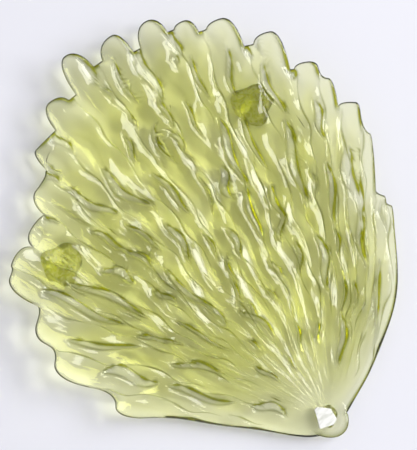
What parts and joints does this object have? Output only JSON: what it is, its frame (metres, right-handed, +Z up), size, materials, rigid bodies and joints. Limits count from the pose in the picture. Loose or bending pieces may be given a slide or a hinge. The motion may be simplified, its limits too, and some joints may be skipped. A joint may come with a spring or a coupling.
{
  "type": "leaf shaped plate",
  "caption": "Leaf-shaped dished glass serving plate with raised wavy fronds, slit in many places, fanning from a stem knob to a fingered rim, standing on small round feet.",
  "frame": {"origin": "centre of the plate's plan box, on the table under the feet", "axes": "+Z up, +Y from the stem towards the longest finger, +X to the right of the leaf seen from above"},
  "size_m": [0.2602, 0.3056, 0.0227],
  "materials": {
    "blade_glass": "clear gloss, citron tint",
    "frond_glass": "clear gloss, citron tint, wavy",
    "stem_glass": "clear gloss with a polished facet",
    "foot_glass": "clear gloss, thick citron tint"
  },
  "bodies": {
    "root": {"leaf_blade": "blade_glass", "stem_knob": "stem_glass", "foot_stem": "foot_glass", "foot_left": "foot_glass", "foot_right": "foot_glass", "frond_01": "frond_glass", "frond_02": "frond_glass", "frond_03": "frond_glass", "frond_04": "frond_glass", "frond_05": "frond_glass", "frond_06": "frond_glass", "frond_07": "frond_glass", "frond_08": "frond_glass", "frond_09": "frond_glass", "frond_10": "frond_glass", "frond_11": "frond_glass", "frond_12": "frond_glass", "frond_13": "frond_glass", "frond_14": "frond_glass", "frond_15": "frond_glass", "frond_16": "frond_glass", "frond_17": "frond_glass", "frond_18": "frond_glass", "frond_19": "frond_glass", "frond_20": "frond_glass", "frond_21": "frond_glass"}
  },
  "joints": []
}
